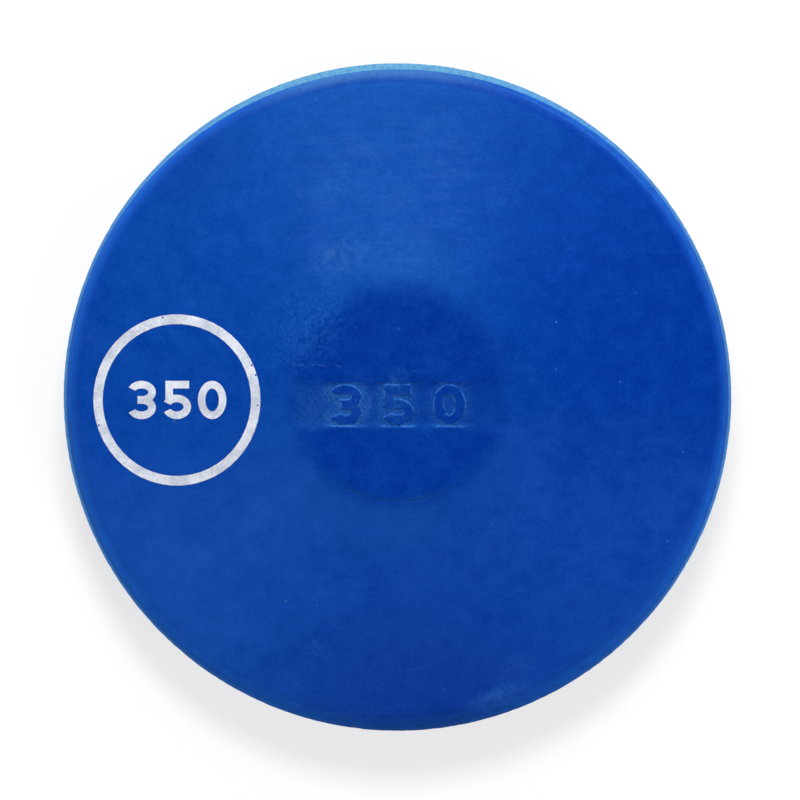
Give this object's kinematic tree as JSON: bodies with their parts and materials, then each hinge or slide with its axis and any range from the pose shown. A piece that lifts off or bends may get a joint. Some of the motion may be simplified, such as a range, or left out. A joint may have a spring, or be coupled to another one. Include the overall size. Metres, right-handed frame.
{
  "type": "rubber discus",
  "caption": "Light rubber throwing discus: level middles, cone flanks, rounded rim with a parting lip, a sunk number panel and a printed ring.",
  "frame": {"origin": "middle of the back flat, on the surface that the discus rests on", "axes": "+Z along the disc's axis, out of the numbered face; +Y up on the number; +X to its right"},
  "size_m": [0.147, 0.147, 0.029],
  "materials": {
    "blue_rubber": "moulded blue rubber, satin, with a dull bloom and fine scuffs",
    "core_rubber": "plain dark filler compound, not seen",
    "white_ink": "pad-printed pearl white ink, slightly grainy"
  },
  "bodies": {
    "root": {"front_cover": "blue_rubber", "back_cover": "blue_rubber", "rubber_core": "core_rubber", "printed_ring": "white_ink", "printed_three": "white_ink", "printed_five": "white_ink", "printed_zero": "white_ink"}
  },
  "joints": []
}
